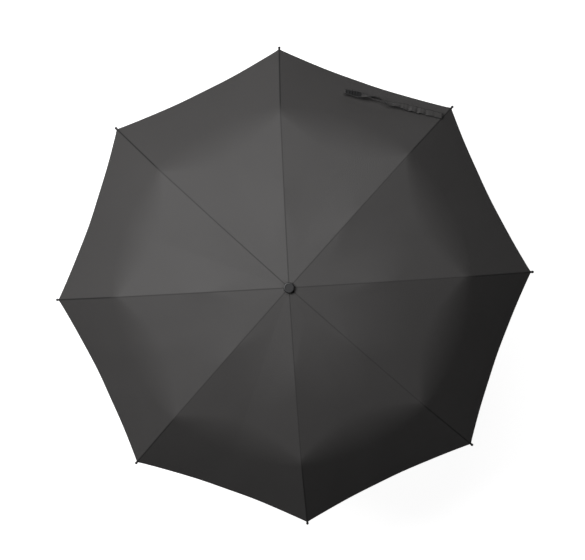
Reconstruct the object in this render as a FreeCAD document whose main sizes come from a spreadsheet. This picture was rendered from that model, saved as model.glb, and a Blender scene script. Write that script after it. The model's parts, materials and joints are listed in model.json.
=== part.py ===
import FreeCAD, Part
import math
import os

import Sketcher

# Folding umbrella with eight three-piece ribs and a three-piece telescopic shaft, modelled open.
# Origin: centre of the handle's flat base. +Z runs up the shaft to the ferrule. Rib 1 points along +X.
# Each rib works in its own upright plane: x is the distance from the shaft, y is sideways, z is up.

SIZES = {
    "rib_count": 8,
    # the rib's pivots when open: distance from the shaft, and drop below the crown's hinge wire
    "crown_height": 590,
    "crown_pivot": 9,
    "elbow_reach": 175,
    "elbow_drop": 22,
    "knee_reach": 344,
    "knee_drop": 75,
    "tip_reach": 477,
    "tip_drop": 184,
    # runner and stretchers
    "runner_drop": 86,
    "runner_pivot": 11,
    "stretcher_foot": 75,
    "runner_length": 24,
    "runner_wall": 3.2,
    "runner_flange_half": 4,
    "runner_foot_margin": 5,
    "runner_foot_height": 2,
    "runner_slot_low": 3,
    "runner_slot_high": 5,
    "button_width": 6,
    "button_height": 9,
    "button_drop": 13.5,
    "button_travel": 1.5,
    "boss_reach": 12.5,
    "boss_wall": 1.5,
    "leaf_half_span": 2.6,
    "leaf_thickness": 0.2,
    "leaf_width": 3,
    # rib sections
    "channel_width": 2.4,
    "channel_height": 3.2,
    "channel_wall": 0.5,
    "blade_width": 1.6,
    "blade_height": 3,
    "blade_gap": 0.35,
    "eye_radius": 1.8,
    "rivet_radius": 0.7,
    "rivet_clearance": 0.15,
    "wire_radius": 1.1,
    "hinge_wire": 0.6,
    "hinge_eye": 0.95,
    # shaft tubes, each sliding over the one below
    "tube_wall": 0.6,
    "lower_tube_radius": 3.8,
    "middle_tube_radius": 4.7,
    "upper_tube_radius": 5.6,
    "lower_tube_start": 15,
    "lower_tube_length": 253,
    "middle_tube_start": 230,
    "middle_tube_length": 195,
    "upper_tube_start": 384,
    "upper_tube_length": 208,
    # handle
    "grip_radius": 13,
    "grip_length": 66,
    "grip_round": 5,
    "collar_radius": 15,
    "collar_height": 6,
    "collar_round": 1.5,
    "handle_rivet_radius": 1.2,
    "handle_rivet_drop": 12,
    "base_cap_radius": 9,
    "base_cap_height": 4,
    "base_cap_round": 0.6,
    # crown, ferrule and canopy
    "crown_radius": 13,
    "crown_top": 6,
    "crown_skirt": 5,
    "crown_slot_top": 3,
    "plug_depth": 3,
    "post_radius": 3,
    "post_height": 6.5,
    "washer_radius": 9.5,
    "washer_thickness": 0.8,
    "ferrule_radius": 10.5,
    "ferrule_height": 7,
    "ferrule_round": 2,
    "dish_radius": 6.5,
    "dish_depth": 0.6,
    "cloth_lift": 4,
    "cloth_thickness": 0.5,
    "cloth_flat_margin": 2,
    "tip_cap_radius": 2.2,
    "tip_cap_length": 13,
    "tip_socket_depth": 7.8,
    "tip_bulb_radius": 2.75,
    # tie band, placed from the tip of rib 2: along the hem, in from the hem, and turned away from it
    "strap_length": 202,
    "strap_width": 16,
    "strap_thickness": 1.2,
    "strap_along": 12,
    "strap_inward": 33,
    "strap_turn": 7.4,
    "fastener_length": 24,
    "fastener_width": 13,
    "fastener_thickness": 1,
    "fastener_margin": 2,
}

RUNNING = 0.3  # clearance between pieces that slide or turn on each other
SNUG = 0.05  # clearance between pieces that are fixed together

doc = FreeCAD.newDocument("FoldingUmbrella")
sheet = doc.addObject("Spreadsheet::Sheet", "Sizes")
for row, (alias, value) in enumerate(SIZES.items(), start=1):
    sheet.set("A%d" % row, alias)
    sheet.set("B%d" % row, str(value))
    sheet.setAlias("B%d" % row, alias)
doc.recompute()


def size(alias):
    return float(getattr(sheet, alias))


def vector(x, y, z):
    return FreeCAD.Vector(x, y, z)


UP = vector(0, 0, 1)
SIDEWAYS = vector(0, 1, 0)
RIBS = int(size("rib_count"))
PITCH = 360.0 / RIBS
HINGE = size("crown_height")
# Sideways place of the stretcher and middle-rib blades, one on each side of the inner rib
BLADE_SIDE = size("channel_width") / 2 + size("blade_gap") + size("blade_width") / 2

CROWN_PIVOT = vector(size("crown_pivot"), 0, HINGE)
ELBOW = vector(size("elbow_reach"), 0, HINGE - size("elbow_drop"))
KNEE = vector(size("knee_reach"), 0, HINGE - size("knee_drop"))
TIP = vector(size("tip_reach"), 0, HINGE - size("tip_drop"))
# The stretchers sit beside the rib's plane, so the round hinge wire is a little nearer the shaft there
RUNNER_PIVOT = vector(
    math.sqrt(size("runner_pivot") ** 2 - BLADE_SIDE**2), 0, HINGE - size("runner_drop")
)
STRETCHER_END = CROWN_PIVOT + (ELBOW - CROWN_PIVOT).normalize() * size("stretcher_foot")

parts = []


def keep(obj, label):
    """Names a finished sub-part, so that it is written to a file of that name."""
    obj.Label = label
    parts.append(obj)
    return obj


def about_shaft(angle):
    return FreeCAD.Placement(vector(0, 0, 0), FreeCAD.Rotation(UP, angle))


def bind(obj, **expressions):
    for name, expression in expressions.items():
        obj.setExpression(name, expression)
    return obj


def cylinder(name, radius, height, place):
    obj = doc.addObject("Part::Cylinder", name)
    obj.Placement = place
    return bind(obj, Radius=radius, Height=height)


def upright(radius, height, z, name="Round"):
    return cylinder(name, radius, height, FreeCAD.Placement(vector(0, 0, z), FreeCAD.Rotation()))


def box(name, length, width, height, place):
    obj = doc.addObject("Part::Box", name)
    obj.Placement = place
    return bind(obj, Length=length, Width=width, Height=height)


def ring(radius, thickness, z, name="Ring"):
    obj = doc.addObject("Part::Torus", name)
    obj.Placement = FreeCAD.Placement(vector(0, 0, z), FreeCAD.Rotation())
    return bind(obj, Radius1=radius, Radius2=thickness)


def fuse(pieces, name="Joined"):
    obj = doc.addObject("Part::MultiFuse", name)
    obj.Shapes = pieces
    return obj


def cut(base, tools, name="Cut"):
    obj = doc.addObject("Part::Cut", name)
    obj.Base = base
    obj.Tool = tools[0] if len(tools) == 1 else fuse(tools, name + "Tools")
    return obj


# ---- rib pieces -------------------------------------------------------------------------------


def along(start, end, index, side):
    """Placement at start whose x runs to end, in the plane of rib number index."""
    step = end - start
    angle = math.degrees(math.atan2(step.z, step.x))
    tilt = FreeCAD.Placement(start + vector(0, side, 0), FreeCAD.Rotation(SIDEWAYS, -angle))
    return about_shaft(PITCH * index).multiply(tilt)


def offset(place, x, y, z):
    return place.multiply(FreeCAD.Placement(vector(x, y, z), FreeCAD.Rotation()))


def span(start, end):
    return "%.9f" % (end - start).Length


def bar(start, end, index, side, width, height):
    """A straight bar between two pivots, centred on the line between them."""
    place = offset(along(start, end, index, side), 0, -size(width) / 2, -size(height) / 2)
    return box("Bar", span(start, end), "Sizes." + width, "Sizes." + height, place)


def across(point, index, low, high, radius, name):
    """A round across the rib's plane, from low to high sideways."""
    lying = FreeCAD.Placement(point + vector(0, high, 0), FreeCAD.Rotation(vector(1, 0, 0), 90))
    place = about_shaft(PITCH * index).multiply(lying)
    return cylinder(name, radius, "%.6f" % (high - low), place)


def eye(point, index, side, width):
    """The round end of a bar."""
    half = size(width) / 2
    return across(point, index, side - half, side + half, "Sizes.eye_radius", "Eye")


def eye_hole(point, index, side, width, radius):
    half = size(width) / 2 + RUNNING
    return across(point, index, side - half, side + half, radius, "EyeHole")


RIVET = "Sizes.rivet_radius"
RIVET_HOLE = "Sizes.rivet_radius + Sizes.rivet_clearance"
HALF_CHANNEL = size("channel_width") / 2
BLADE_FAR_SIDE = BLADE_SIDE + size("blade_width") / 2
SOLID_END = 2.5  # eye radii of the inner rib that stay solid at each end of its channel
WIRE_START = 0.75  # eye radii from the knee's pivot to the start of the outer rib's wire


def make_inner_rib(index):
    """The channel-section rib hinged at the crown, with a rivet for the middle rib at its outer end."""
    solid = [
        bar(CROWN_PIVOT, ELBOW, index, 0, "channel_width", "channel_height"),
        eye(CROWN_PIVOT, index, 0, "channel_width"),
        eye(STRETCHER_END, index, 0, "channel_width"),
        eye(ELBOW, index, 0, "channel_width"),
    ]
    wall = size("channel_wall")
    margin = SOLID_END * size("eye_radius")
    inside = offset(along(CROWN_PIVOT, ELBOW, index, 0), margin, 0, 0)
    inside = offset(inside, 0, wall - HALF_CHANNEL, -wall - size("channel_height") / 2)
    hollow = box(
        "Hollow",
        "%.6f" % ((ELBOW - CROWN_PIVOT).Length - 2 * margin),
        "Sizes.channel_width - 2 * Sizes.channel_wall",
        "Sizes.channel_height",
        inside,
    )
    wire_hole = eye_hole(CROWN_PIVOT, index, 0, "channel_width", "Sizes.hinge_eye")
    shell = cut(fuse(solid), [hollow, wire_hole])
    rivet = across(ELBOW, index, -BLADE_FAR_SIDE, 0, RIVET, "Rivet")
    keep(fuse([shell, rivet]), "inner_rib_%d" % (index + 1))


def make_middle_rib(index):
    """The flat rib between the elbow and the knee, on the far side of the inner rib from the stretcher."""
    side = -BLADE_SIDE
    solid = [
        bar(ELBOW, KNEE, index, side, "blade_width", "blade_height"),
        eye(ELBOW, index, side, "blade_width"),
        eye(KNEE, index, side, "blade_width"),
    ]
    blade = cut(fuse(solid), [eye_hole(ELBOW, index, side, "blade_width", RIVET_HOLE)])
    rivet = across(KNEE, index, side, HALF_CHANNEL, RIVET, "Rivet")
    keep(fuse([blade, rivet]), "middle_rib_%d" % (index + 1))


def make_outer_rib(index):
    """The round wire rib from the knee to the hem, with a flattened eye at the knee."""
    start = size("eye_radius") * WIRE_START
    length = (TIP - KNEE).Length - start
    lengthwise = FreeCAD.Placement(vector(0, 0, 0), FreeCAD.Rotation(SIDEWAYS, 90))
    place = offset(along(KNEE, TIP, index, 0), start, 0, 0).multiply(lengthwise)
    wire = cylinder("Wire", "Sizes.wire_radius", "%.6f" % length, place)
    head = eye(KNEE, index, 0, "channel_width")
    hole = eye_hole(KNEE, index, 0, "channel_width", RIVET_HOLE)
    keep(cut(fuse([wire, head]), [hole]), "outer_rib_%d" % (index + 1))


def make_rib_tip(index):
    """The blind cap that holds the canopy's corner on the end of the outer rib."""
    place = along(KNEE, TIP, index, 0)
    rib_end = (TIP - KNEE).Length
    depth = size("tip_socket_depth")
    turned = FreeCAD.Placement(vector(0, 0, 0), FreeCAD.Rotation(SIDEWAYS, 90))
    base = offset(place, rib_end - depth, 0, 0).multiply(turned)
    sleeve = cylinder("Sleeve", "Sizes.tip_cap_radius", "Sizes.tip_cap_length", base)
    bulb = doc.addObject("Part::Sphere", "Bulb")
    bulb.Placement = offset(base, 0, 0, size("tip_cap_length"))
    bind(bulb, Radius="Sizes.tip_bulb_radius")
    socket = cylinder("Socket", "Sizes.wire_radius + %g" % SNUG, "Sizes.tip_socket_depth + %g" % SNUG, base)
    keep(cut(fuse([sleeve, bulb]), [socket]), "rib_tip_%d" % (index + 1))


def make_stretcher(index):
    """The flat link from the runner to the inner rib."""
    side = BLADE_SIDE
    solid = [
        bar(RUNNER_PIVOT, STRETCHER_END, index, side, "blade_width", "blade_height"),
        eye(RUNNER_PIVOT, index, side, "blade_width"),
        eye(STRETCHER_END, index, side, "blade_width"),
    ]
    holes = [
        eye_hole(RUNNER_PIVOT, index, side, "blade_width", "Sizes.hinge_eye"),
        eye_hole(STRETCHER_END, index, side, "blade_width", RIVET_HOLE),
    ]
    keep(cut(fuse(solid), holes), "stretcher_%d" % (index + 1))


# ---- shaft and handle -------------------------------------------------------------------------


def make_tube(label, outer, start, length):
    """A round shaft tube, open at both ends."""
    body = doc.addObject("PartDesign::Body", label + "_body")
    sketch = body.newObject("Sketcher::SketchObject", label + "_section")
    plane = [f for f in body.Origin.OriginFeatures if f.Role == "XY_Plane"][0]
    sketch.AttachmentSupport = [(plane, "")]
    sketch.MapMode = "FlatFace"
    sketch.addGeometry(Part.Circle(vector(0, 0, 0), UP, size(outer)), False)
    sketch.addGeometry(Part.Circle(vector(0, 0, 0), UP, size(outer) - size("tube_wall")), False)
    sketch.addConstraint(Sketcher.Constraint("Radius", 0, size(outer)))
    sketch.addConstraint(Sketcher.Constraint("Radius", 1, size(outer) - size("tube_wall")))
    sketch.setExpression("Constraints[0]", "Sizes." + outer)
    sketch.setExpression("Constraints[1]", "Sizes.%s - Sizes.tube_wall" % outer)
    pad = body.newObject("PartDesign::Pad", label + "_pad")
    pad.Profile = sketch
    pad.setExpression("Length", "Sizes." + length)
    body.Placement = FreeCAD.Placement(vector(0, 0, size(start)), FreeCAD.Rotation())
    return body


def make_shaft():
    """The three telescopic tubes; the lower one is drilled for the handle's rivet."""
    lower = make_tube("lower_tube", "lower_tube_radius", "lower_tube_start", "lower_tube_length")
    keep(cut(lower, [cross_pin(size("grip_radius"), SNUG)]), "lower_tube")
    keep(
        make_tube("middle_tube", "middle_tube_radius", "middle_tube_start", "middle_tube_length"),
        "middle_tube",
    )
    keep(make_tube("upper_tube", "upper_tube_radius", "upper_tube_start", "upper_tube_length"), "upper_tube")


def rounded(base, radius, edges):
    """The base with those edges rounded; edges are numbers counted from 1."""
    obj = doc.addObject("Part::Fillet", "Rounded")
    obj.Base = base
    obj.Edges = [(number, radius, radius) for number in edges]
    return obj


def round_edges_at(base, z):
    """Numbers of the circular edges that lie at one height."""
    doc.recompute()
    found = []
    for number, edge in enumerate(base.Shape.Edges, start=1):
        flat = edge.BoundBox.ZMax - edge.BoundBox.ZMin < 1e-6
        if flat and abs(edge.BoundBox.ZMin - z) < 1e-6:
            found.append(number)
    return found


def cross_pin(reach, clearance):
    """The rivet through the grip from side to side, or its hole: it holds the lower tube in the grip."""
    z = size("grip_length") - size("handle_rivet_drop")
    lying = FreeCAD.Placement(vector(0, reach, z), FreeCAD.Rotation(vector(1, 0, 0), 90))
    return cylinder("CrossPin", "Sizes.handle_rivet_radius + %g" % clearance, "%g" % (2 * reach), lying)


def make_handle():
    """The grip, its top collar and the plug in its base."""
    blank = upright("Sizes.grip_radius", "Sizes.grip_length", 0, "GripBlank")
    ends = round_edges_at(blank, 0) + round_edges_at(blank, size("grip_length"))
    shaped = rounded(blank, size("grip_round"), ends)
    bore = upright("Sizes.lower_tube_radius + %g" % SNUG, "Sizes.grip_length", size("lower_tube_start"))
    recess = upright("Sizes.base_cap_radius + %g" % SNUG, "Sizes.base_cap_height", 0)
    buried = size("grip_radius") - 1  # the rivet's ends stay 1 mm under the grip's skin
    keep(cut(shaped, [bore, recess, cross_pin(buried, SNUG)]), "handle_grip")
    keep(cross_pin(buried, 0), "handle_rivet")

    cap = upright("Sizes.base_cap_radius", "Sizes.base_cap_height - %g" % SNUG, 0, "BaseCap")
    keep(rounded(cap, size("base_cap_round"), round_edges_at(cap, 0)), "handle_base_cap")

    top = size("grip_length") + SNUG
    ring_blank = upright("Sizes.collar_radius", "Sizes.collar_height", top, "CollarBlank")
    upper_edge = round_edges_at(ring_blank, top + size("collar_height"))
    collar = rounded(ring_blank, size("collar_round"), upper_edge)
    bore = upright("Sizes.lower_tube_radius + %g" % SNUG, "Sizes.collar_height", top)
    keep(cut(collar, [bore]), "handle_collar")


# ---- crown, runner and ferrule ----------------------------------------------------------------


def slot(index, side, width, inner, outer, low, high):
    """A radial slot cut through a round part for one rib or stretcher."""
    corner = FreeCAD.Placement(vector(inner, side - width / 2, low), FreeCAD.Rotation())
    place = about_shaft(PITCH * index).multiply(corner)
    return box("Slot", "%.6f" % (outer - inner), "%.6f" % width, "%.6f" % (high - low), place)


def make_crown():
    """The slotted head on top of the shaft, with the wire that the inner ribs hinge on."""
    bottom = HINGE - size("crown_skirt")
    disc = upright("Sizes.crown_radius", "Sizes.crown_skirt + Sizes.crown_top", bottom, "CrownDisc")
    plug_radius = "Sizes.upper_tube_radius - Sizes.tube_wall - %g" % SNUG
    plug_bottom = bottom - size("plug_depth")
    plug = upright(plug_radius, "Sizes.crown_skirt + Sizes.plug_depth", plug_bottom, "CrownPlug")
    post = upright("Sizes.post_radius", "Sizes.post_height", HINGE + size("crown_top"), "CrownPost")
    seat_top = size("upper_tube_start") + size("upper_tube_length") + SNUG
    seat_height = "%.6f" % (seat_top - plug_bottom)
    seat_outer = upright("Sizes.upper_tube_radius + %g" % SNUG, seat_height, plug_bottom)
    seat = cut(seat_outer, [upright(plug_radius, seat_height, plug_bottom)])
    groove = ring("Sizes.crown_pivot", "Sizes.hinge_wire + %g" % SNUG, HINGE)
    width = size("channel_width") + 2 * RUNNING
    inner = size("crown_pivot") - size("eye_radius") - RUNNING
    outer = 2 * size("crown_radius")
    slot_top = HINGE + size("crown_slot_top")
    slots = [slot(index, 0, width, inner, outer, bottom - 1, slot_top) for index in range(RIBS)]
    keep(cut(fuse([disc, plug, post]), [seat, groove] + slots), "crown")
    keep(ring("Sizes.crown_pivot", "Sizes.hinge_wire", HINGE), "crown_hinge_wire")


def make_ferrule():
    """The round cap outside the canopy, pushed blind onto the crown's post, with the washer under it."""
    crown_face = HINGE + size("crown_top")
    washer_z = crown_face + size("cloth_thickness") + 2 * RUNNING
    washer = upright("Sizes.washer_radius", "Sizes.washer_thickness", washer_z, "WasherBlank")
    hole = upright("Sizes.post_radius + %g" % SNUG, "Sizes.washer_thickness", washer_z)
    keep(cut(washer, [hole]), "ferrule_washer")

    bottom = washer_z + size("washer_thickness") + SNUG
    blank = upright("Sizes.ferrule_radius", "Sizes.ferrule_height", bottom, "FerruleBlank")
    top = bottom + size("ferrule_height")
    domed = rounded(blank, size("ferrule_round"), round_edges_at(blank, top))
    dish = upright("Sizes.dish_radius", "Sizes.dish_depth", top - size("dish_depth"))
    post_hole = upright("Sizes.post_radius + %g" % SNUG, "Sizes.post_height + %g" % SNUG, crown_face)
    keep(cut(domed, [dish, post_hole]), "ferrule_cap")


BOSS_ANGLE = PITCH / 2  # the button faces between two ribs


def boss_place(x, y, z):
    return about_shaft(BOSS_ANGLE).multiply(FreeCAD.Placement(vector(x, y, z), FreeCAD.Rotation()))


def boss_box(name, start, end, width, height, z):
    """A box on the runner's button side, from start to end outwards and centred on height z."""
    place = boss_place(start, -width / 2, z - height / 2)
    return box(name, "%.6f" % (end - start), "%.6f" % width, "%.6f" % height, place)


def make_runner():
    """The slider on the upper tube, with a slotted flange for the stretchers and a boss for the button."""
    pivot_z = RUNNER_PIVOT.z
    half = size("runner_flange_half")
    bottom = pivot_z + half - size("runner_length")
    barrel = upright("Sizes.upper_tube_radius + Sizes.runner_wall", "Sizes.runner_length", bottom, "Barrel")
    flange = upright("Sizes.crown_radius", "2 * Sizes.runner_flange_half", pivot_z - half, "Flange")
    foot_radius = "Sizes.upper_tube_radius + Sizes.runner_foot_margin"
    foot = upright(foot_radius, "Sizes.runner_foot_height", bottom, "Foot")
    bore = upright("Sizes.upper_tube_radius + %g" % RUNNING, "Sizes.runner_length", bottom)
    groove = ring("Sizes.runner_pivot", "Sizes.hinge_wire + %g" % SNUG, pivot_z)

    button_z = pivot_z - size("button_drop")
    width = size("button_width")
    height = size("button_height")
    reach = size("boss_reach")
    wall = size("boss_wall")
    boss = boss_box("Boss", 0, reach, width + 2 * wall, height + 2 * wall, button_z)
    floor = size("upper_tube_radius") + wall
    pocket = boss_box("Pocket", floor, 2 * reach, width + 2 * RUNNING, height + 2 * RUNNING, button_z)

    slot_width = size("blade_width") + 2 * RUNNING
    inner = RUNNER_PIVOT.x - size("eye_radius") - RUNNING
    outer = 2 * size("crown_radius")
    low = pivot_z - size("runner_slot_low")
    high = pivot_z + size("runner_slot_high")
    slots = [slot(index, BLADE_SIDE, slot_width, inner, outer, low, high) for index in range(RIBS)]
    keep(cut(fuse([barrel, flange, foot, boss]), [bore, groove, pocket] + slots), "runner")
    keep(ring("Sizes.runner_pivot", "Sizes.hinge_wire", pivot_z), "runner_hinge_wire")

    travel = size("button_travel")
    button_start = floor + RUNNING + travel
    keep(boss_box("Button", button_start, reach + travel, width, height, button_z), "runner_button")
    make_button_spring(floor + SNUG, button_start - SNUG, button_z)


def make_button_spring(floor, top, z):
    """The bowed leaf that pushes the button out: its middle rests on the pocket's floor, its ends on the button."""
    rise = top - floor
    half_span = size("leaf_half_span")
    width = size("leaf_width")
    outer = (half_span**2 + rise**2) / (2 * rise)
    place = boss_place(floor + outer, 0, z - width / 2)
    disc = cylinder("LeafOuter", "%.6f" % outer, "Sizes.leaf_width", place)
    hole = cylinder("LeafInner", "%.6f - Sizes.leaf_thickness" % outer, "Sizes.leaf_width", place)
    leaf = doc.addObject("Part::Common", "Leaf")
    leaf.Base = cut(disc, [hole])
    leaf.Tool = boss_box("LeafWindow", floor, top, 2 * half_span, width, z)
    keep(leaf, "button_spring")


# ---- canopy and strap -------------------------------------------------------------------------


def canopy_ring(reach, z):
    """The corners of the canopy over the ribs at one distance from the shaft."""
    return [about_shaft(PITCH * index).multVec(vector(reach, 0, z)) for index in range(RIBS)]


def panel(a, b, c, d):
    return Part.Face(Part.makePolygon([a, b, c, d, a]))


def make_canopy():
    """The cloth as one closed sheet over the ribs: eight flat-sided gores with a hole for the crown's post."""
    lift = size("cloth_lift")
    flat = HINGE + size("crown_top") + RUNNING
    profile = [
        (size("post_radius") + RUNNING, flat),
        (size("crown_radius") + size("cloth_flat_margin"), flat),
        (ELBOW.x, ELBOW.z + lift),
        (KNEE.x, KNEE.z + lift),
        (TIP.x, TIP.z + lift),
    ]
    low = [canopy_ring(reach, z) for reach, z in profile]
    high = [canopy_ring(reach, z + size("cloth_thickness")) for reach, z in profile]
    faces = []
    for index in range(RIBS):
        after = (index + 1) % RIBS
        for near, far in zip(range(len(profile) - 1), range(1, len(profile))):
            for layer in (low, high):
                faces.append(
                    panel(layer[near][index], layer[far][index], layer[far][after], layer[near][after])
                )
        for edge in (0, len(profile) - 1):
            faces.append(panel(low[edge][index], high[edge][index], high[edge][after], low[edge][after]))
    solid = Part.makeSolid(Part.makeShell(faces))
    if solid.Volume < 0:
        solid.reverse()
    obj = doc.addObject("Part::Feature", "Canopy")
    obj.Shape = solid
    keep(obj, "canopy")


def make_strap():
    """The tie band that wraps the folded canopy, sewn at one end beside the tip of rib 2 and lying on the cloth."""
    tip, next_tip = canopy_ring(TIP.x, TIP.z)[1:3]
    knee = canopy_ring(KNEE.x, KNEE.z)[1]
    hem = (next_tip - tip).normalize()
    normal = hem.cross(knee - tip).normalize()
    if normal.z < 0:
        normal = -normal
    inward = hem.cross(normal).normalize()
    if inward.dot(knee - tip) < 0:
        inward = -inward
    turn = FreeCAD.Rotation(normal, math.copysign(size("strap_turn"), normal.dot(hem.cross(inward))))
    lengthwise = turn.multVec(hem)
    widthwise = turn.multVec(inward)
    rotation = FreeCAD.Rotation(lengthwise, widthwise, normal, "XZY")

    above_cloth = vector(0, 0, size("cloth_lift") + size("cloth_thickness") + 2 * RUNNING)
    middle = tip + hem * size("strap_along") + inward * size("strap_inward") + above_cloth
    start = middle - widthwise * (size("strap_width") / 2)
    place = FreeCAD.Placement(start, rotation)
    across = rotation.multVec(vector(0, 1, 0))
    if across.dot(widthwise) < 0:
        place = FreeCAD.Placement(start + widthwise * size("strap_width"), rotation)
    band = box("Strap", "Sizes.strap_length", "Sizes.strap_width", "Sizes.strap_thickness", place)
    keep(band, "closure_strap")

    patch_x = size("strap_length") - size("fastener_length") - size("fastener_margin")
    patch_y = (size("strap_width") - size("fastener_width")) / 2
    patch_place = offset(place, patch_x, patch_y, size("strap_thickness") + SNUG)
    patch = box(
        "Patch",
        "Sizes.fastener_length",
        "Sizes.fastener_width",
        "Sizes.fastener_thickness",
        patch_place,
    )
    keep(patch, "strap_fastener")


make_handle()
make_shaft()
make_crown()
make_ferrule()
make_runner()
for rib in range(RIBS):
    make_inner_rib(rib)
    make_middle_rib(rib)
    make_outer_rib(rib)
    make_rib_tip(rib)
    make_stretcher(rib)
make_canopy()
make_strap()
doc.recompute()

for obj in doc.Objects:
    if "Invalid" in obj.State or "Error" in obj.State:
        raise RuntimeError("%s failed: %s" % (obj.Label, obj.State))
os.makedirs("parts", exist_ok=True)
for obj in parts:
    if obj.Shape.isNull() or not obj.Shape.isValid() or obj.Shape.Volume <= 0:
        raise RuntimeError("%s has no valid shape" % obj.Label)
    obj.Shape.exportStep(os.path.join("parts", obj.Label + ".step"))
    print("%-20s solids %d volume %.1f" % (obj.Label, len(obj.Shape.Solids), obj.Shape.Volume))
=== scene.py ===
import json
import math

import bmesh
import bpy
import numpy as np
from mathutils import Euler, Matrix, Vector


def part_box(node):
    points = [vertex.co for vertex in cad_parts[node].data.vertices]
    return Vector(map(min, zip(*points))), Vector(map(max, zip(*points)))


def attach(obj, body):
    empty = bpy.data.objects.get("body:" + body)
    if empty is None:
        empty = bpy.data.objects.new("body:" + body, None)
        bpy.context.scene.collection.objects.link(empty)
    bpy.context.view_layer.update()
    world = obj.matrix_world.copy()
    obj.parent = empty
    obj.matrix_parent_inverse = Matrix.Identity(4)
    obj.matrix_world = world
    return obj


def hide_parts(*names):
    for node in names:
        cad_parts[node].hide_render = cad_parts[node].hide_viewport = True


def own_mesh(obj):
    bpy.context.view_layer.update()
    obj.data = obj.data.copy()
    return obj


# The looks of the folding umbrella. Lengths are in metres in the CAD frame: +Z up the shaft, rib 1 along +X.

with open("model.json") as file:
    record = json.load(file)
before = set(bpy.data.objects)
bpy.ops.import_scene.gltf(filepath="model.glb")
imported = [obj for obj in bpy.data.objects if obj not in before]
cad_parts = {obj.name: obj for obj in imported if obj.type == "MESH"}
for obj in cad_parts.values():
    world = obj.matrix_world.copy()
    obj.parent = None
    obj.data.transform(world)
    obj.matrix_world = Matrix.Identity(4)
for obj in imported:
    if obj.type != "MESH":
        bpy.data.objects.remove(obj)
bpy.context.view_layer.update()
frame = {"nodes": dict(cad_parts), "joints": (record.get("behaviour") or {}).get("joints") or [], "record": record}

RIBS = 8
PITCH = 2 * math.pi / RIBS
JOINTS = {joint["name"]: joint for joint in frame["joints"]}


def pivot(name):
    """Where rib 1's joint of that name is, as its distance from the shaft and its height."""
    x, y, z = JOINTS[name]["pos_m"]
    return np.array([math.hypot(x, y), z])


KNEE_HEIGHT = pivot("outer_rib_1_fold")[1]
SAME_PLACE = 1e-4  # two points nearer than this are at the same place


def canopy_profile():
    """The CAD canopy's upper corners over rib 1, from the crown to the hem, as (distance, height)."""
    points = [v.co for v in frame["nodes"]["canopy"].data.vertices if abs(v.co.y) < SAME_PLACE and v.co.x > 0]
    highest = {}
    for point in points:
        reach = round(point.x, 4)
        highest[reach] = max(point.z, highest.get(reach, 0))
    return np.array(sorted(highest.items()))


# ---- the canopy's surface ---------------------------------------------------------------------

CORNERS = canopy_profile()
STEPS = np.linalg.norm(np.diff(CORNERS, axis=0), axis=1)
CORNER_AT = np.concatenate([[0], np.cumsum(STEPS)])
HEM_AT = CORNER_AT[-1]
ELBOW_AT = CORNER_AT[2]
KNEE_AT = CORNER_AT[3]
DIRECTIONS = np.diff(CORNERS, axis=0) / STEPS[:, None]

# Half the length of the bend at each corner, over a rib and in mid-gore, where the cloth is slack.
RIB_BEND = [0, 0.006, 0.030, 0.010]
GORE_BEND = [0, 0.006, 0.100, 0.050]
HEM_BOW = 0.008  # how far the hem is drawn in between two tips
SAG = 0.006  # how far the cloth sags between two ribs at the hem
SAG_FADE = 5  # the power with which the sag fades from the hem towards the hole
RIPPLE = 0.0005  # height of the faint pulls in the cloth
# The pulls: (share of the height, waves over a gore, waves per metre along it, shift from gore to gore).
PULLS = [(1.0, 2.5, 3.0, 1.7), (0.6, 1.5, -5.0, 2.9)]
SMALL_STEP = 1e-4  # over which slopes are measured


def ramp(distance, bend):
    """A line that starts to rise at 0, with its corner rounded over a bend to each side."""
    inside = (distance + bend) ** 2 / (4 * bend)
    return np.where(distance < -bend, 0.0, np.where(distance > bend, distance, inside))


def meridian(t, middle):
    """(distance, height) of the cloth t metres from its hole: middle is 0 over a rib, 1 in mid-gore."""
    out = CORNERS[0] + np.multiply.outer(t, DIRECTIONS[0])
    for corner in range(1, len(DIRECTIONS)):
        bend = RIB_BEND[corner] + (GORE_BEND[corner] - RIB_BEND[corner]) * middle
        turn = DIRECTIONS[corner] - DIRECTIONS[corner - 1]
        out = out + ramp(t - CORNER_AT[corner], bend)[..., None] * turn
    return out


def gore_width(t):
    """The width between two ribs, t metres from the canopy's hole."""
    return 2 * math.sin(PITCH / 2) * meridian(t, 0.0)[..., 0]


def ripples(gore, share, t):
    """Faint pulls that fan out over a gore: share runs from 0 at one rib to 1 at the next."""
    fade = np.sin(math.pi * share) ** 2 * (t / HEM_AT) ** 2
    pulls = sum(
        height * np.sin(2 * math.pi * (over * share + along * t) + shift * gore)
        for height, over, along, shift in PULLS
    )
    return RIPPLE * fade * pulls


def cloth_point(rib, across, t):
    """A point of the canopy: across runs from -1 to 1 between the middles of the gores beside the rib."""
    middle = 1 - (1 - np.abs(across)) ** 2
    drawn = t * (1 - HEM_BOW / HEM_AT * middle)
    flat = meridian(drawn, middle)
    step = meridian(drawn + SMALL_STEP, middle) - flat
    normal = np.stack([-step[..., 1], step[..., 0]], axis=-1)
    normal /= np.linalg.norm(normal, axis=-1, keepdims=True)
    gore = np.where(across > 0, rib, (rib - 1) % RIBS)
    share = np.where(across > 0, across / 2, 1 + across / 2)
    lift = ripples(gore, share, t) - SAG * middle * (t / HEM_AT) ** SAG_FADE
    flat = flat + normal * lift[..., None]
    weight = np.abs(across) / 2
    angle = rib * PITCH
    other = angle + PITCH * np.sign(across)
    x = flat[..., 0] * ((1 - weight) * math.cos(angle) + weight * np.cos(other))
    y = flat[..., 0] * ((1 - weight) * math.sin(angle) + weight * np.sin(other))
    return np.stack([x, y, flat[..., 1]], axis=-1)


def unit(vectors):
    """The vectors, each made one metre long."""
    return vectors / np.maximum(np.linalg.norm(vectors, axis=-1, keepdims=True), 1e-12)


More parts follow.
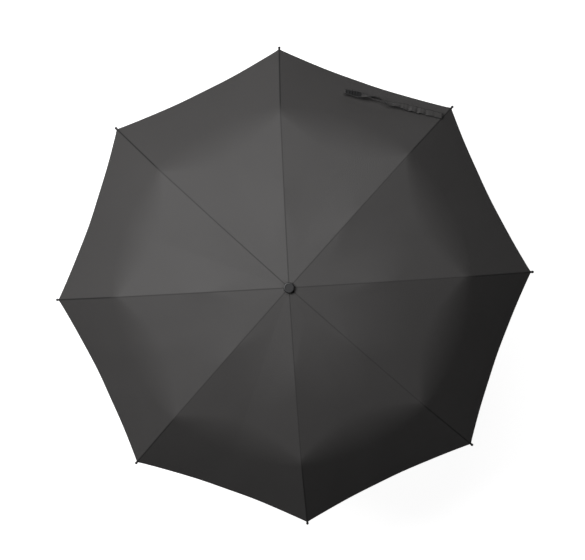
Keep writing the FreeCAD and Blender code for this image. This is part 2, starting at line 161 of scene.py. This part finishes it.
def cloth_normal(rib, across, t):
    """The canopy's upward normal, the same for two pieces where they meet."""
    side = np.where(across > 0, -SMALL_STEP, SMALL_STEP)
    here = cloth_point(rib, across, t)
    along = cloth_point(rib, across, t + SMALL_STEP) - cloth_point(rib, across, t - SMALL_STEP)
    over = cloth_point(rib, across + side, t) - here
    normal = unit(np.cross(along, over))
    return np.where(normal[..., 2:] < 0, -normal, normal)


def grid_mesh(name, points, uv, normals):
    """A mesh of quads over a grid of points, with a UV and a normal for each."""
    rows, columns = points.shape[:2]
    corner = np.arange(rows * columns).reshape(rows, columns)
    around = [corner[:-1, :-1], corner[1:, :-1], corner[1:, 1:], corner[:-1, 1:]]
    quads = np.stack(around, axis=-1).reshape(-1, 4)
    mesh = bpy.data.meshes.new(name)
    mesh.from_pydata(points.reshape(-1, 3).tolist(), [], quads.tolist())
    layer = mesh.uv_layers.new(name="Cloth")
    layer.data.foreach_set("uv", uv.reshape(-1, 2)[quads.ravel()].astype(np.float32).ravel())
    mesh.polygons.foreach_set("use_smooth", [True] * len(mesh.polygons))
    if normals is not None:
        mesh.normals_split_custom_set_from_vertices(normals.reshape(-1, 3).tolist())
    obj = bpy.data.objects.new(name, mesh)
    bpy.context.scene.collection.objects.link(obj)
    return obj


SEAM_WIDTH = 0.0035
SEAM_HEIGHT = 0.0004
GROOVE_DEPTH = 0.0006
GROOVE_WIDTH = 0.0008
SEAM_STEPS = [0, 0.0022, 0.0045, 0.007, 0.010, 0.014, 0.020, 0.028, 0.040, 0.055]  # shares of half a gore
WIDE_STEPS = 26  # from the last of them to the middle of the gore
WIDE_START = 0.08


def seam_height(across, t):
    """The height of the sewn seam along a rib: a low fold on one side of a fine groove."""
    sideways = across / 2 * gore_width(t)
    fold = SEAM_HEIGHT * np.clip(1 - np.abs(sideways - SEAM_WIDTH) / SEAM_WIDTH, 0, 1)
    groove = GROOVE_DEPTH * np.exp(-((sideways / GROOVE_WIDTH) ** 2))
    return fold - groove


def across_steps(side):
    """Steps from a rib to mid-gore on one side of it, close together at the rib for its seam."""
    half = np.concatenate([[-FLAP], SEAM_STEPS, np.linspace(WIDE_START, 1, WIDE_STEPS), [1 + FLAP]])
    return half if side > 0 else -half[::-1]


FLAP = 0.004  # the share of half a gore that a piece reaches under its neighbour, to keep light out
FLAP_DROP = 0.00025
HEM_FOLD = 0.008  # width of the folded hem
HEM_GAP = 0.0011  # from the cloth to the layer folded under it
HEM_STEPS = 5  # around the fold


def hem_rows():
    """The rows that carry the cloth round its edge and underneath: (past the hem, below the cloth, turn)."""
    rows = []
    for step in range(1, HEM_STEPS + 1):
        turn = math.pi * step / HEM_STEPS
        rows.append((HEM_GAP / 2 * math.sin(turn), HEM_GAP / 2 * (1 - math.cos(turn)), turn))
    rows.append((-HEM_FOLD / 2, HEM_GAP, math.pi))
    rows.append((-HEM_FOLD, HEM_GAP, math.pi))
    rows.append((-HEM_FOLD, HEM_GAP / 3, math.pi))
    return rows


CUT_LEAN = 1.05  # how far out the cuts run at mid-gore, so that the folded pieces end level


def cut_at(place, across):
    """The distance from the hole at which the canopy is cut.

    Between two ribs the cloth lies nearer to the shaft than on them, so the cut runs further out there.
    """
    if place in (0.0, HEM_AT):
        return np.full_like(across, place)
    inward = gore_width(place) / 2 * math.sin(PITCH / 2)
    return place + CUT_LEAN * inward * np.abs(across)


def canopy_piece(rib, side, name, start, end, rows):
    """The canopy from one rib to mid-gore between two cuts; at the hem it is folded under."""
    share, across = np.meshgrid(np.linspace(0, 1, rows), across_steps(side), indexing="ij")
    t = cut_at(start, across) * (1 - share) + cut_at(end, across) * share
    flap = np.abs(across - side / 2) > 0.5
    if end != HEM_AT:
        across = np.concatenate([across, across[-1:]])
        t = np.concatenate([t, t[-1:] + FLAP * PITCH * end])
        flap = np.concatenate([flap, np.full_like(flap[-1:], True)])
    points = cloth_point(rib, across, t)
    normals = cloth_normal(rib, across, t)
    points = points + normals * (seam_height(across, t) - FLAP_DROP * flap)[..., None]
    uv = np.stack([across / 2 * gore_width(t), t], axis=-1)
    if end == HEM_AT:
        edge, normal, edge_uv = points[-1], normals[-1], uv[-1]
        outward = unit(edge - points[-2])
        for past, below, turn in hem_rows():
            row = edge + outward * past - normal * below
            points = np.concatenate([points, row[None]])
            turned = unit(normal * math.cos(turn) + outward * math.sin(turn))
            normals = np.concatenate([normals, turned[None]])
            uv = np.concatenate([uv, (edge_uv + [0, abs(past) + below])[None]])
    return grid_mesh(name, points, uv, normals)


# ---- materials --------------------------------------------------------------------------------


def new_material(name):
    """A material with its nodes, its links and its shader."""
    material = bpy.data.materials.new(name)
    material.use_nodes = True
    nodes = material.node_tree.nodes
    shader = nodes["Principled BSDF"]
    return material, nodes, material.node_tree.links, shader


class Formula:
    """Arithmetic on a shader's values, written as Python."""

    def __init__(self, nodes, links, value):
        self.nodes, self.links, self.value = nodes, links, value

    def apply(self, operation, *others):
        """This value put through a Math node, with the others as its further inputs."""
        node = self.nodes.new("ShaderNodeMath")
        node.operation = operation
        for index, value in enumerate([self, *others]):
            value = value.value if isinstance(value, Formula) else value
            if isinstance(value, (int, float)):
                node.inputs[index].default_value = value
            else:
                self.links.new(value, node.inputs[index])
        return Formula(self.nodes, self.links, node.outputs[0])

    def __add__(self, other):
        return self.apply("ADD", other)

    def __sub__(self, other):
        return self.apply("SUBTRACT", other)

    def __mul__(self, other):
        return self.apply("MULTIPLY", other)

    def band(self, centre, half_width):
        """1 at centre, falling to 0 at half_width from it."""
        away = self.apply("SUBTRACT", centre).apply("ABSOLUTE")
        return (away * (-1 / half_width) + 1.0).apply("MAXIMUM", 0.0)

    def wave(self, length):
        """A sine wave over this value."""
        return (self * (2 * math.pi / length)).apply("SINE")


THREAD = 0.0005
WEAVE_HEIGHT = 0.00006
CLOUDS = (7.0, 5.0)  # scale and detail of the cloth's slow change of shade
SLUBS = (900.0, 2.0)  # and of its uneven threads
SLUB_SHADE = 0.25
STITCH = 0.0026
STITCH_WIDTH = 0.0006
STITCH_HEIGHT = 0.0003
STITCH_GAP = 0.2  # how far a stitch reaches into the gap to the next
STITCH_SHADE = 0.5
SEAM_SHADOW = 0.0019  # half the width of the painted shade along a seam, a dark line in its groove
# The darkness of the painted shade along the seam over each rib.
SEAM_PAINTED_SHADE = 0.53
TIGHT_PAINTED_SHADE = 0.42  # painted shade added to the seam's line where the cloth is pulled tight over the outer rib
TIGHT_SPREAD = 1.8  # how much wider the painted shade's soft edge is there
# The darkness of the painted shade's wider soft edge past the knee.
TIGHT_SOFT_PAINTED_SHADE = 0.35
TIGHT_RISE = 40.0  # how fast this sets in, per metre
CLOTH_DARK = (0.0375, 0.0355, 0.0350, 1)
CLOTH_LIGHT = (0.0425, 0.0402, 0.0396, 1)
# The dark colour of the uneven threads and the stitches, and of the painted shade along seams and edges.
DARK_THREAD_AND_PAINTED_SHADE = (0.004, 0.0038, 0.0037, 1)
CLOTH_LUSTRE = 0.68
CLOTH_ROUGHNESS = 0.69
CLOTH_RELIEF = 0.6  # how strongly the weave and the stitches show


def cloth_coordinates(nodes, links):
    """Metres across the cloth from its seam, and metres along it, as two formulas."""
    uv = nodes.new("ShaderNodeUVMap")
    uv.uv_map = "Cloth"
    split = nodes.new("ShaderNodeSeparateXYZ")
    links.new(uv.outputs["UV"], split.inputs[0])
    return [Formula(nodes, links, split.outputs[axis]) for axis in ("X", "Y")]


def mixed_colour(nodes, links, share, first, second):
    """The first colour where share is 0 and the second where it is 1."""
    mix = nodes.new("ShaderNodeMix")
    mix.data_type = "RGBA"
    links.new(share, mix.inputs["Factor"])
    for colour, socket in ((first, mix.inputs[6]), (second, mix.inputs[7])):
        if isinstance(colour, tuple):
            socket.default_value = colour
        else:
            links.new(colour, socket)
    return mix.outputs[2]


def noise(nodes, links, scale, detail):
    """A noise from 0 to 1 over the object's own coordinates."""
    texture = nodes.new("ShaderNodeTexNoise")
    texture.inputs["Scale"].default_value = scale
    texture.inputs["Detail"].default_value = detail
    links.new(nodes.new("ShaderNodeTexCoord").outputs["Object"], texture.inputs["Vector"])
    return texture.outputs["Fac"]


def bump(nodes, links, shader, height, distance, strength=1.0):
    """Lets a height in units of distance shape the shader's normal."""
    node = nodes.new("ShaderNodeBump")
    node.inputs["Strength"].default_value = strength
    node.inputs["Distance"].default_value = distance
    links.new(height, node.inputs["Height"])
    links.new(node.outputs["Normal"], shader.inputs["Normal"])


def cloth_material(name, stitch_rows, seam_from=None, painted_shade_lines=()):
    """Dark grey pongee: a plain weave, rows of stitches, and painted shade where it is sewn or folded.

    stitch_rows are (axis, place): the distance across or along the cloth at which a row runs.
    seam_from is the distance along the cloth from which the seam is pulled tight and its painted shade is darker.
    The last argument gives (axis, place, half width, darkness) for each further line of painted shade, along folds
    and edges.
    """
    material, nodes, links, shader = new_material(name)
    across, along = cloth_coordinates(nodes, links)
    axes = {"across": across, "along": along}
    height = across.wave(THREAD) * along.wave(THREAD) * WEAVE_HEIGHT
    colour = mixed_colour(nodes, links, noise(nodes, links, *CLOUDS), CLOTH_DARK, CLOTH_LIGHT)
    slub = Formula(nodes, links, noise(nodes, links, *SLUBS)) * SLUB_SHADE
    colour = mixed_colour(nodes, links, slub.value, colour, DARK_THREAD_AND_PAINTED_SHADE)
    shade = across * 0.0
    for axis, place in stitch_rows:
        other = along if axis == "across" else across
        row = axes[axis].band(place, STITCH_WIDTH) * (other.wave(STITCH) + STITCH_GAP)
        row = row.apply("MAXIMUM", 0.0)
        height = height + row * STITCH_HEIGHT
        shade = shade + row * STITCH_SHADE
    # Painted shade along further folds and edges: the hem's edge and the band's edges and end.
    for axis, place, half_width, darkness in painted_shade_lines:
        shade = shade + axes[axis].band(place, half_width) * darkness
    # Painted shade along the seam's groove over the rib, darker and wider past the knee where the cloth is pulled
    # tight.
    if seam_from is not None:
        tight = (along - seam_from) * TIGHT_RISE
        tight = tight.apply("MAXIMUM", 0.0).apply("MINIMUM", 1.0)
        shade = shade + across.band(0.0, SEAM_SHADOW) * (tight * TIGHT_PAINTED_SHADE + SEAM_PAINTED_SHADE)
        shade = shade + across.band(0.0, TIGHT_SPREAD * SEAM_SHADOW) * tight * TIGHT_SOFT_PAINTED_SHADE
    shade = shade.apply("MINIMUM", 1.0)
    # The stitches' darker thread and all the painted shade darken the colour here.
    colour = mixed_colour(nodes, links, shade.value, colour, DARK_THREAD_AND_PAINTED_SHADE)
    links.new(colour, shader.inputs["Base Color"])
    shader.inputs["Specular IOR Level"].default_value = CLOTH_LUSTRE
    roughness = shade * (1 - CLOTH_ROUGHNESS) + CLOTH_ROUGHNESS
    links.new(roughness.value, shader.inputs["Roughness"])
    bump(nodes, links, shader, height.value, 1.0, CLOTH_RELIEF)
    return material


HEM_STITCHES = [("along", HEM_AT - HEM_FOLD + 0.001)]
# Painted shade along the folded hem's edge.
HEM_EDGE_PAINTED_SHADE = [("along", HEM_AT, 0.0020, 0.8)]
BAND_STITCHES = [("across", 0.0062), ("across", -0.0062), ("along", 0.002), ("along", 0.006)]
# Painted shade along the band's two edges and across its sewn end.
BAND_EDGES_PAINTED_SHADE = [("across", 0.008, 0.0016, 0.8), ("across", -0.008, 0.0016, 0.8), ("along", 0.0, 0.003, 0.9)]


def pile_material():
    """The looped face of a hook-and-loop patch."""
    material, nodes, links, shader = new_material("HookAndLoop")
    loops = noise(nodes, links, 1600.0, 3.0)
    colour = mixed_colour(nodes, links, loops, (0.003, 0.003, 0.003, 1), (0.020, 0.020, 0.021, 1))
    links.new(colour, shader.inputs["Base Color"])
    bump(nodes, links, shader, loops, 0.0006, 0.9)
    shader.inputs["Roughness"].default_value = 0.9
    shader.inputs["Specular IOR Level"].default_value = 0.2
    shader.inputs["Sheen Weight"].default_value = 0.03
    return material


def moulded_plastic(name, colour, roughness):
    """Moulded plastic with a fine spark-eroded grain."""
    material, nodes, links, shader = new_material(name)
    shader.inputs["Base Color"].default_value = (*colour, 1)
    shader.inputs["Roughness"].default_value = roughness
    bump(nodes, links, shader, noise(nodes, links, 3500.0, 2.0), 0.00005, 0.25)
    return material


def drawn_metal(name, colour, roughness, metallic=1.0):
    """Metal with a little variation in its gloss."""
    material, nodes, links, shader = new_material(name)
    shader.inputs["Base Color"].default_value = (*colour, 1)
    shader.inputs["Metallic"].default_value = metallic
    spread = nodes.new("ShaderNodeMapRange")
    spread.inputs["To Min"].default_value = roughness * 0.8
    spread.inputs["To Max"].default_value = roughness * 1.25
    links.new(noise(nodes, links, 120.0, 2.0), spread.inputs["Value"])
    links.new(spread.outputs["Result"], shader.inputs["Roughness"])
    return material


MATERIALS = {
    "canopy_cloth": cloth_material("Pongee", HEM_STITCHES, KNEE_AT, HEM_EDGE_PAINTED_SHADE),
    "tie_band": cloth_material("BandPongee", BAND_STITCHES, painted_shade_lines=BAND_EDGES_PAINTED_SHADE),
    "handle_plastic": moulded_plastic("SoftTouch", (0.028, 0.028, 0.03), 0.6),
    "handle_trim": moulded_plastic("TrimPlastic", (0.05, 0.05, 0.052), 0.35),
    "black_plastic": moulded_plastic("BlackPlastic", (0.017, 0.017, 0.018), 0.36),
    "tip_plastic": moulded_plastic("TipPlastic", (0.03, 0.03, 0.03), 0.4),
    "fastener": pile_material(),
    "shaft_metal": drawn_metal("BlackTube", (0.06, 0.06, 0.062), 0.3),
    "hinge_wire": drawn_metal("HingeWire", (0.5, 0.5, 0.5), 0.3),
    "rib_steel": drawn_metal("RibSteel", (0.06, 0.06, 0.063), 0.35),
    "rib_blade": drawn_metal("RibBlade", (0.55, 0.55, 0.56), 0.32),
    "rib_wire": drawn_metal("RibWire", (0.35, 0.35, 0.36), 0.3),
}


def dress(obj, slot):
    """Gives a piece the one material of that slot."""
    obj.data.materials.clear()
    obj.data.materials.append(MATERIALS[slot])
    return obj


for subpart in frame["record"]["subparts"]:
    dress(frame["nodes"][subpart["node"]], subpart["material_slot"])

# ---- the canopy -------------------------------------------------------------------------------

# The canopy's sections: the ribs they ride on, where they start and end, and their rows of points.
SECTIONS = [
    ("inner", 0.0, ELBOW_AT, 30),
    ("middle", ELBOW_AT, KNEE_AT, 34),
    ("outer", KNEE_AT, HEM_AT, 40),
]
# How the folded cloth lies at each section's rib: the share of its width that it keeps, the angle by which it
# stands off the rib, and how far to the rib's side it starts.
FOLDED_LIE = {"inner": (0.05, 0.0, 0.0), "middle": (0.02, 0.0, 0.0026), "outer": (0.05, 0.12, 0.0)}


def fold_with_rib(piece, rib, side, section):
    """Gives a piece of cloth on one side of a rib a mesh of its own.

    As the umbrella is folded, the cloth is pressed flat along the line from the rib to mid-gore, which leans
    inwards. Where that line is turned by the swell, the cloth ends up standing off the rib. This works out that
    line, but doesn't move the piece.
    """
    corner = 1 + list(FOLDED_LIE).index(section)  # the profile's corner where the section's rib starts
    keep, swell, aside = FOLDED_LIE[section]
    radius, height = CORNERS[corner]
    outward, upward = DIRECTIONS[corner]
    lean = -math.atan(math.tan(PITCH / 2) * -upward) - swell
    angle = rib * PITCH
    tangent = Vector((-math.sin(angle), math.cos(angle), 0))
    radial = Vector((math.cos(angle), math.sin(angle), 0))
    normal = radial * -upward + Vector((0, 0, outward))
    axis = tangent * side * math.cos(lean) + normal * math.sin(lean)
    anchor = radial * radius + Vector((0, 0, height)) + axis * aside
    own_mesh(piece)


def make_canopy():
    """The canopy, cut along the ribs and at their joints, so that each piece can fold with its rib."""
    for rib in range(RIBS):
        for section, start, end, rows in SECTIONS:
            for side, hand in ((-1, "right"), (1, "left")):
                name = "canopy_%s_%d_%s" % (section, rib + 1, hand)
                body = "%s_rib_%d" % (section, rib + 1)
                piece = canopy_piece(rib, side, name, start, end, rows)
                dress(piece, "canopy_cloth")
                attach(piece, body)
                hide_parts("canopy")
                fold_with_rib(piece, rib, side, section)
                width = float(gore_width(np.array(end))) / 2
                length = float(cut_at(end, np.array(1.0))) - start


# ---- the tie band -----------------------------------------------------------------------------

BAND_THICKNESS = 0.0012
BAND_STEPS = 420  # along the whole band
BAND_STEPS_ACROSS = 11
PATCH_LENGTH = 0.032
PATCH_END = 0.985  # where the patch ends, as a share of the band's length
PATCH_SHARE = 0.8  # the patch's share of the band's width
PATCH_THICKNESS = 0.0009


def bell(s, middle, half_width):
    """A smooth bump in s: 1 at its middle, 0 at half_width to each side."""
    reach = np.clip(np.abs(s - middle) / half_width, 0, 1)
    return np.cos(reach * math.pi / 2) ** 2


def band_frame():
    """The tie band's start, its three directions and its size, from the CAD band."""
    vertices = np.array([v.co for v in frame["nodes"]["closure_strap"].data.vertices])
    middle = vertices.mean(axis=0)
    lengthwise, widthwise, normal = np.linalg.svd(vertices - middle, full_matrices=False)[2]
    tip = np.array([v.co for v in frame["nodes"]["rib_tip_2"].data.vertices]).mean(axis=0)
    if lengthwise @ (middle - tip) < 0:
        lengthwise = -lengthwise
    if normal[2] < 0:
        normal = -normal
    if widthwise[2] < 0:
        widthwise = -widthwise
    reach = (vertices - middle) @ np.array([lengthwise, widthwise, normal]).T
    length, width, thickness = np.ptp(reach, axis=0)
    start = middle - lengthwise * length / 2 - normal * thickness / 2
    return start, lengthwise, widthwise, normal, float(length), float(width)


BAND_START, BAND_LENGTHWISE, BAND_WIDTHWISE, BAND_NORMAL, BAND_LENGTH, BAND_WIDTH = band_frame()


# The tie band's shape along its length, as bells of (height, middle, half width): its roll in radians, and how
# far up and to the side its middle runs, in metres.
BAND_ROLL = [(1.0, 0.68, 0.20), (0.3, 0.48, 0.12), (0.2, 0.97, 0.14)]
BAND_RISE = [(0.0010, 0.84, 0.08)]
BAND_SIDEWAYS = [(0.0045, 0.55, 0.16), (0.0015, 0.72, 0.12), (-0.0010, 0.90, 0.12)]
BAND_CLEARANCE = 0.0016  # from the canopy to the band's middle
PUCKERED = (0.27, 0.30)  # the middle and half width of the puckered part
PUCKERS = [(0.0013, 11), (0.0005, 23)]  # (height, number along the band)
PUCKER_MEAN, PUCKER_SLANT = 0.6, 0.4  # the puckers are higher towards one edge
PUCKER_WIDENING = (0.05, 8.5)  # (share of the width, number along the band)
RIBBED = (0.92, 0.10)  # the middle and half width of the ribbed part under the patch
RIBS_OF_PATCH = (0.0006, 36)


def bells(s, shape):
    """The sum of several bells, each given by its height, middle and half width."""
    return sum(height * bell(s, middle, half_width) for height, middle, half_width in shape)


def waves(s, height, number):
    """A sine wave of that height, with that number of waves along the band."""
    return height * np.sin(2 * math.pi * number * s)


def band_point(s, v, lift):
    """A point of the tie band: s runs from 0 at its sewn end to 1, v from -1 to 1 across it.

    lift is the height above the band's underside. The band lies flat and puckered where it is sewn, stands on
    its edge past its middle and lies down again at its patch.
    """
    roll = bells(s, BAND_ROLL)
    puckered = bell(s, *PUCKERED)
    pucker = sum(waves(s, *wave) for wave in PUCKERS) * puckered * (PUCKER_MEAN + PUCKER_SLANT * v)
    ribbed = waves(s, *RIBS_OF_PATCH) * bell(s, *RIBBED)
    height = BAND_CLEARANCE + 0.5 * BAND_WIDTH * np.abs(np.sin(roll)) + bells(s, BAND_RISE)
    half = BAND_WIDTH / 2 * (1 + waves(s, *PUCKER_WIDENING) * puckered)
    across = bells(s, BAND_SIDEWAYS) + v * half * np.cos(roll) - lift * np.sin(roll)
    up = height + v * half * np.sin(roll) + pucker + ribbed + lift * np.cos(roll)
    return (
        BAND_START
        + np.multiply.outer(s * BAND_LENGTH, BAND_LENGTHWISE)
        + np.multiply.outer(across, BAND_WIDTHWISE)
        + np.multiply.outer(up, BAND_NORMAL)
    )


def band_piece(name, start, end, half_width, low, high, slot):
    """A closed strip of the band's shape between two places along it and two heights above its underside."""
    edge = np.linspace(-half_width, half_width, BAND_STEPS_ACROSS)
    v_loop = np.concatenate([edge, edge[::-1]])
    lift_loop = np.concatenate([np.full_like(edge, high), np.full_like(edge, low)])
    v_loop = np.append(v_loop, v_loop[0])
    lift_loop = np.append(lift_loop, lift_loop[0])
    s = np.linspace(start, end, int((end - start) * BAND_STEPS))
    s_grid, v_grid = np.meshgrid(s, v_loop, indexing="ij")
    lift_grid = np.broadcast_to(lift_loop, s_grid.shape)
    points = band_point(s_grid, v_grid, lift_grid)
    uv = np.stack([v_grid * BAND_WIDTH / 2, s_grid * BAND_LENGTH], axis=-1)
    obj = grid_mesh(name, points, uv, None)
    close_strip(obj.data)
    dress(obj, slot)
    return obj


def close_strip(mesh):
    """Joins the strip's two long edges and caps its ends."""
    work = bmesh.new()
    work.from_mesh(mesh)
    bmesh.ops.remove_doubles(work, verts=work.verts, dist=1e-6)
    bmesh.ops.holes_fill(work, edges=work.edges, sides=0)
    bmesh.ops.recalc_face_normals(work, faces=work.faces)
    work.to_mesh(mesh)
    work.free()


def make_band():
    """The self-fabric tie band, sewn in beside the tip of rib 2 and lying loose on the canopy."""
    band = band_piece("tie_band", 0.0, 1.0, 1.0, 0.0, BAND_THICKNESS, "tie_band")
    start = PATCH_END - PATCH_LENGTH / BAND_LENGTH
    top = BAND_THICKNESS + PATCH_THICKNESS
    patch = band_piece("band_fastener", start, PATCH_END, PATCH_SHARE, BAND_THICKNESS, top, "fastener")
    for piece, node, slot in ((band, "closure_strap", "canopy_cloth"), (patch, "strap_fastener", "fastener")):
        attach(piece, "outer_rib_2")
        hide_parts(node)
        fold_with_rib(piece, 1, 1, "outer")


make_canopy()
make_band()

# ---- room, light and camera -------------------------------------------------------------------


def add_light(name, azimuth, elevation, distance, size, power):
    """A round soft light in degrees and metres around the middle of the canopy, which it points at."""
    light = bpy.data.lights.new(name, "AREA")
    light.shape = "DISK"
    light.size = size
    light.energy = power
    obj = bpy.data.objects.new(name, light)
    bpy.context.scene.collection.objects.link(obj)
    azimuth, elevation = math.radians(azimuth), math.radians(elevation)
    level = math.cos(elevation)
    away = Vector((math.cos(azimuth) * level, math.sin(azimuth) * level, math.sin(elevation)))
    obj.visible_camera = False
    obj.location = Vector((0, 0, KNEE_HEIGHT)) + away * distance
    obj.rotation_euler = away.to_track_quat("Z", "Y").to_euler()


FLOOR_RADIUS = 6.0
FLOOR_SIDES = 96
FLOOR_COLOUR = (0.45, 0.45, 0.45, 1)
FLOOR_GLOW = 0.95
LIGHT_ELEVATION = 55
LIGHT_DISTANCE = 2.6
LIGHT_SIZE = 1.7
BOUNCE_HEIGHT = 0.003  # of the weak light that stands for the floor's, under the canopy
BOUNCE_SIZE = 1.2
AMBIENT = 0.02  # the soft light from all around
BACKDROP = 0.97  # the brightness of the backdrop as the camera sees it


def make_floor():
    """The plain pale floor. It is evenly bright, and the light it gives off stays off the umbrella."""
    bpy.ops.mesh.primitive_circle_add(vertices=FLOOR_SIDES, radius=FLOOR_RADIUS, fill_type="NGON")
    floor = bpy.context.object
    floor.name = "floor"
    material, nodes, links, shader = new_material("PaleFloor")
    shader.inputs["Emission Strength"].default_value = FLOOR_GLOW
    shader.inputs["Emission Color"].default_value = (1, 1, 1, 1)
    shader.inputs["Base Color"].default_value = FLOOR_COLOUR
    shader.inputs["Roughness"].default_value = 0.9
    floor.data.materials.append(material)
    lit_by_floor = bpy.data.collections.new("LitByFloor")
    lit_by_floor.objects.link(floor)
    floor.light_linking.receiver_collection = lit_by_floor


def make_world():
    """Soft light from all around, and a pale backdrop where the camera sees past the floor."""
    world = bpy.data.worlds.new("Studio")
    world.use_nodes = True
    nodes, links = world.node_tree.nodes, world.node_tree.links
    background = nodes["Background"]
    background.inputs["Color"].default_value = (1, 1, 1, 1)
    seen = nodes.new("ShaderNodeLightPath")
    strength = nodes.new("ShaderNodeMapRange")
    strength.inputs["To Min"].default_value = AMBIENT
    strength.inputs["To Max"].default_value = BACKDROP
    links.new(seen.outputs["Is Camera Ray"], strength.inputs["Value"])
    links.new(strength.outputs["Result"], background.inputs["Strength"])
    bpy.context.scene.world = world


VIEW_TURN = math.radians(3.4)  # the umbrella stands turned a little in the picture
LEAN_RIGHT = math.radians(2.45)  # how far the camera stands off the shaft's line, towards the picture's right
LEAN_UP = math.radians(0.8)  # and top
CAMERA_DISTANCE = 3.2
SENSOR_WIDTH = 36
TIPS_ACROSS = 0.820  # the share of the picture's width between opposite tips
AIM_UP = 0.01026  # the picture's middle, from the shaft, in shares of the picture's width
AIM_RIGHT = -0.00137


def make_camera():
    """The camera above the umbrella, as in the photograph."""
    tip_low, tip_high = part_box("rib_tip_1")
    picture_width = 2 * tip_high.x / TIPS_ACROSS
    camera = bpy.data.cameras.new("Camera")
    camera.sensor_width = SENSOR_WIDTH
    camera.lens = CAMERA_DISTANCE * SENSOR_WIDTH / picture_width
    obj = bpy.data.objects.new("Camera", camera)
    bpy.context.scene.collection.objects.link(obj)
    back = Vector((math.tan(LEAN_RIGHT), math.tan(LEAN_UP), 1)).normalized()
    back.rotate(Euler((0, 0, -VIEW_TURN)))
    up = Vector((math.sin(VIEW_TURN), math.cos(VIEW_TURN), 0))
    right = Vector((math.cos(VIEW_TURN), -math.sin(VIEW_TURN), 0))
    centre = Vector((0, 0, (tip_low.z + tip_high.z) / 2))
    aim = centre + (up * AIM_UP + right * AIM_RIGHT) * picture_width
    obj.location = aim + back * CAMERA_DISTANCE
    across = up.cross(back).normalized()
    upward = back.cross(across)
    obj.rotation_euler = Matrix((across, upward, back)).transposed().to_euler()
    bpy.context.scene.camera = obj


make_floor()
make_world()
add_light("Key", 150, LIGHT_ELEVATION, LIGHT_DISTANCE, LIGHT_SIZE, 72)
add_light("Side", 90, LIGHT_ELEVATION, LIGHT_DISTANCE, LIGHT_SIZE, 27)
add_light("Bounce", 0, -90, KNEE_HEIGHT - BOUNCE_HEIGHT, BOUNCE_SIZE, 3)
make_camera()
bpy.context.scene.view_settings.view_transform = "Standard"
